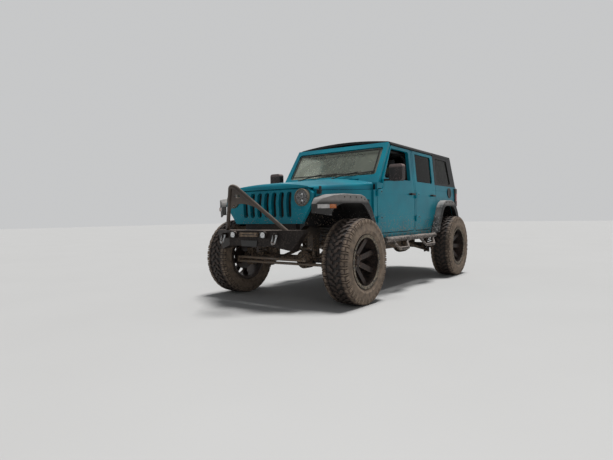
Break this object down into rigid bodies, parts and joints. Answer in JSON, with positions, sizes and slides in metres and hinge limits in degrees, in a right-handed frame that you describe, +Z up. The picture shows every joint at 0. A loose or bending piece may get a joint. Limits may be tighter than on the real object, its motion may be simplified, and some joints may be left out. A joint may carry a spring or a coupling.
{
  "type": "lifted off-road 4x4",
  "caption": "Lifted off-road 4x4 with a hardtop, wide flares, a stub bumper with a stinger bar, side steps and a spare wheel; doors, hood, tailgate, wheels and steering move.",
  "frame": {"origin": "on the ground at the middle of the bounding box", "axes": "+Z up, -Y to the front of the vehicle, +X to the vehicle's left side"},
  "size_m": [2.09, 4.961, 1.982],
  "materials": {
    "body_paint": "metallic gloss, dusty and splashed",
    "hardtop_black": "grained, dusty at the edges",
    "window_glass": "tinted, dusty",
    "lamp_glass": "clear",
    "tail_lamp_red": "gloss",
    "flare_plastic": "dusty",
    "bumper_paint": "textured black under dust",
    "step_paint": "textured black under dust",
    "shackle_steel": "worn",
    "chassis_black": "satin, muddy",
    "axle_iron": "dusty",
    "engine_metal": "cast",
    "spring_paint": "satin, dusty",
    "shock_metal": "satin, dusty",
    "shaft_steel": "dusty",
    "tank_plastic": "satin",
    "exhaust_steel": "dull, heat stained",
    "rim_grey": "satin, dusty",
    "tyre": "dusty",
    "mirror_housing": "dusty",
    "dash_plastic": "grained",
    "seat_fabric": "woven",
    "radiator_black": "black, fine fins",
    "cage_black": "satin"
  },
  "bodies": {
    "body": {"frame": "chassis_black", "engine_and_gearbox": "engine_metal", "front_axle": "axle_iron", "rear_axle": "axle_iron", "lower_arms": "chassis_black", "upper_arms": "chassis_black", "track_bars": "chassis_black", "coil_springs": "spring_paint", "shock_absorbers": "shock_metal", "driveshafts": "shaft_steel", "fuel_tank": "tank_plastic", "exhaust": "exhaust_steel", "body_tub": "body_paint", "floor_pan": "chassis_black", "windshield_frame": "body_paint", "hardtop": "hardtop_black", "fixed_windows": "window_glass", "grille": "body_paint", "radiator": "radiator_black", "front_lamps": "lamp_glass", "tail_lamps": "tail_lamp_red", "front_fenders": "body_paint", "fender_flares": "flare_plastic", "front_bumper": "bumper_paint", "tow_shackles": "shackle_steel", "stinger_bar": "bumper_paint", "side_steps": "step_paint", "rear_bumper": "bumper_paint", "dashboard": "dash_plastic", "front_seats": "seat_fabric", "rear_seat": "seat_fabric", "roll_cage": "cage_black"},
    "hood": {"hood": "body_paint"},
    "door_front_left": {"door_front_left": "body_paint", "mirror_left": "mirror_housing"},
    "door_front_right": {"door_front_right": "body_paint", "mirror_right": "mirror_housing"},
    "door_rear_left": {"door_rear_left": "body_paint", "door_window_rear_left": "window_glass"},
    "door_rear_right": {"door_rear_right": "body_paint", "door_window_rear_right": "window_glass"},
    "tailgate": {"tailgate": "body_paint", "tyre_spare": "tyre", "rim_spare": "rim_grey"},
    "knuckle_left": {"knuckle_left": "axle_iron"},
    "knuckle_right": {"knuckle_right": "axle_iron"},
    "wheel_front_left": {"tyre_front_left": "tyre", "rim_front_left": "rim_grey"},
    "wheel_front_right": {"tyre_front_right": "tyre", "rim_front_right": "rim_grey"},
    "wheel_rear_left": {"tyre_rear_left": "tyre", "rim_rear_left": "rim_grey"},
    "wheel_rear_right": {"tyre_rear_right": "tyre", "rim_rear_right": "rim_grey"},
    "tie_rod": {"tie_rod": "shaft_steel"},
    "drag_link": {"drag_link": "shaft_steel"},
    "pitman_arm": {"pitman_arm": "axle_iron"}
  },
  "joints": [
    {"name": "hood_hinge", "type": "hinge", "parent": "body", "child": "hood", "pos_m": [0, -0.8085, 1.425], "axis": [-1, 0, 0], "range_deg": [0, 55]},
    {"name": "door_front_left_hinge", "type": "hinge", "parent": "body", "child": "door_front_left", "pos_m": [0.805, -0.8205, 0.92], "axis": [0, 0, -1], "range_deg": [0, 70]},
    {"name": "door_front_right_hinge", "type": "hinge", "parent": "body", "child": "door_front_right", "pos_m": [-0.805, -0.8205, 0.92], "axis": [0, 0, 1], "range_deg": [0, 70]},
    {"name": "door_rear_left_hinge", "type": "hinge", "parent": "body", "child": "door_rear_left", "pos_m": [0.805, 0.3345, 0.92], "axis": [0, 0, -1], "range_deg": [0, 70]},
    {"name": "door_rear_right_hinge", "type": "hinge", "parent": "body", "child": "door_rear_right", "pos_m": [-0.805, 0.3345, 0.92], "axis": [0, 0, 1], "range_deg": [0, 70]},
    {"name": "tailgate_hinge", "type": "hinge", "parent": "body", "child": "tailgate", "pos_m": [-0.62, 2.0985, 1.01], "axis": [0, 0, 1], "range_deg": [0, 90]},
    {"name": "steer_left", "type": "hinge", "parent": "body", "child": "knuckle_left", "pos_m": [0.715, -1.4655, 0.47], "axis": [0, 0, 1], "range_deg": [-30, 30]},
    {"name": "steer_right", "type": "hinge", "parent": "body", "child": "knuckle_right", "pos_m": [-0.715, -1.4655, 0.47], "axis": [0, 0, 1], "range_deg": [-30, 30]},
    {"name": "tie_rod_pivot", "type": "hinge", "parent": "knuckle_left", "child": "tie_rod", "pos_m": [0.715, -1.6505, 0.425], "axis": [0, 0, 1], "range_deg": [-30, 30]},
    {"name": "drag_link_pivot", "type": "hinge", "parent": "knuckle_right", "child": "drag_link", "pos_m": [-0.715, -1.6505, 0.477], "axis": [0, 0, 1], "range_deg": [-30, 30]},
    {"name": "pitman_pivot", "type": "hinge", "parent": "body", "child": "pitman_arm", "pos_m": [0.372, -1.5605, 0.6], "axis": [0, 0, 1], "range_deg": [-30, 30]},
    {"name": "wheel_front_left_spin", "type": "hinge", "parent": "knuckle_left", "child": "wheel_front_left", "pos_m": [0.863, -1.4655, 0.47], "axis": [1, 0, 0], "continuous": true},
    {"name": "wheel_front_right_spin", "type": "hinge", "parent": "knuckle_right", "child": "wheel_front_right", "pos_m": [-0.863, -1.4655, 0.47], "axis": [1, 0, 0], "continuous": true},
    {"name": "wheel_rear_left_spin", "type": "hinge", "parent": "body", "child": "wheel_rear_left", "pos_m": [0.863, 1.5425, 0.47], "axis": [1, 0, 0], "continuous": true},
    {"name": "wheel_rear_right_spin", "type": "hinge", "parent": "body", "child": "wheel_rear_right", "pos_m": [-0.863, 1.5425, 0.47], "axis": [1, 0, 0], "continuous": true}
  ],
  "couplings": [
    {"joint": "steer_right", "follows": "steer_left", "ratio": 1},
    {"joint": "tie_rod_pivot", "follows": "steer_left", "ratio": -1},
    {"joint": "drag_link_pivot", "follows": "steer_left", "ratio": -1},
    {"joint": "pitman_pivot", "follows": "steer_left", "ratio": 1}
  ]
}
